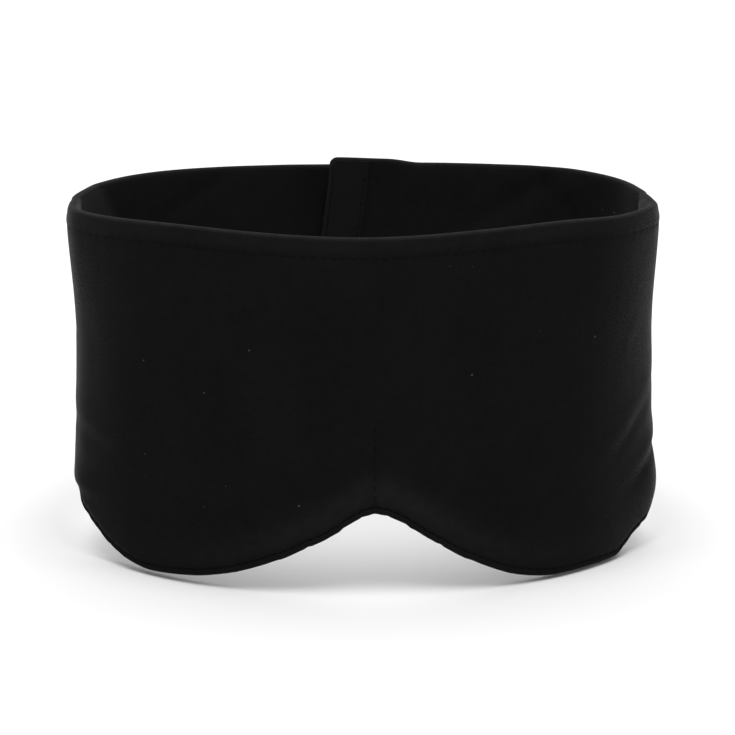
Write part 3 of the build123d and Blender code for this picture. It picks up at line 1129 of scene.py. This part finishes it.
def build_hook_side():
    """Hook tape under the closure tab: its base and its field of hooks."""
    low = Vector((hook_low.x, hook_low.y + 0.0004, hook_low.z))
    base = plate("hook_tape_base", low, hook_high + Vector((0, 0.0003, 0)))
    finish_piece(base, "hook_nylon", "hook_tape", body="closure_tab")
    finish_piece(hook_field("hook_tape_hooks", low, hook_high), "hook_nylon", body="closure_tab")


def build_loop_side(place):
    """Loop tape on the outer face of the tucked end, and the facing strip on its inner face."""
    spots = stations(tucked.distance_of(loop_high.x), tucked.distance_of(loop_low.x), 0.0005)
    loops = layer("loop_tape_pile", spots, loop_line, 0.0009, pile_on(place))
    finish_piece(loops, "loop_pile", "loop_tape", body="right_band")

    spots = stations(RIGHT_END - FACING_WIDTH, RIGHT_END - 0.0004, 0.0008)
    facing = layer("right_end_facing_strip", spots, facing_line, 0.00045, place)
    finish_piece(facing, "facing_tape", "right_end_facing", body="right_band")


def build_closure_stitches(place):
    """Seams round the hook tape, round the loop tape and along both edges of the facing strip."""
    run = rectangle_run(hook_low, hook_high, BACK_Y - 0.0002, 0.001)
    row = stitch_row("hook_tape_stitches", [run], **TAPE_STITCH)
    finish_piece(row, "thread", "hook_tape_stitching", body="closure_tab")
    heights = np.linspace(facing_low.z + 0.002, RIM - 0.004, 60)
    sides = [seam_on(place, RIGHT_END - inset, FACING_DEPTH, heights, -1.0)
             for inset in (0.0016, FACING_WIDTH - 0.0012)]
    row = stitch_row("loop_tape_stitches", frame_on(place, -0.0009, 0.0012) + sides, **TAPE_STITCH)
    finish_piece(row, "thread", "loop_tape_stitching", body="right_band")


# -------- stage, light and camera

def build_stage():
    """Large paper floor just under the mask."""
    half, drop = 3.0, -0.0005
    corners = [(-half, -half, drop), (half, -half, drop), (half, half, drop), (-half, half, drop)]
    floor = mesh_object("floor", corners, [(0, 1, 2, 3)])
    floor.data.materials.append(floor_material())


def softbox(name, strength, width, tilt):
    """Wide, far light overhead, tilted towards the front, in degrees."""
    data = bpy.data.lights.new(name, "SUN")
    data.energy = strength
    data.angle = math.radians(width)
    add_object(name, data).rotation_euler = (math.radians(tilt), 0, 0)


def build_light():
    """White surround with two soft lights above, one a little in front and one behind."""
    world = bpy.data.worlds.new("studio")
    bpy.context.scene.world = world
    world.use_nodes = True
    background = world.node_tree.nodes["Background"]
    background.inputs["Color"].default_value = (1, 1, 1, 1)
    background.inputs["Strength"].default_value = 0.48
    softbox("front_softbox", 1.92, 44, 16)
    softbox("rear_softbox", 0.84, 66, -28)


def build_camera():
    """Long lens, slightly above, a little to the left of straight in front."""
    turn_to, rise, away = math.radians(-3), math.radians(12), 1.0
    aim = Vector((0.0017, 0, 0.0552))
    back = Vector((math.sin(turn_to) * math.cos(rise), -math.cos(turn_to) * math.cos(rise), math.sin(rise)))
    data = bpy.data.cameras.new("camera")
    data.sensor_width, data.lens = 36, 149.1
    camera = add_object("camera", data)
    camera.location = aim + back * away
    camera.rotation_euler = (-back).to_track_quat("-Z", "Y").to_euler()
    bpy.context.scene.camera = camera
    bpy.context.scene.view_settings.view_transform = "Standard"


simulate_pad()
build_front()
build_front_stitches()
tucked_end = build_bands()
build_hook_side()
build_loop_side(tucked_end)
build_closure_stitches(tucked_end)
build_stage()
build_light()
build_camera()
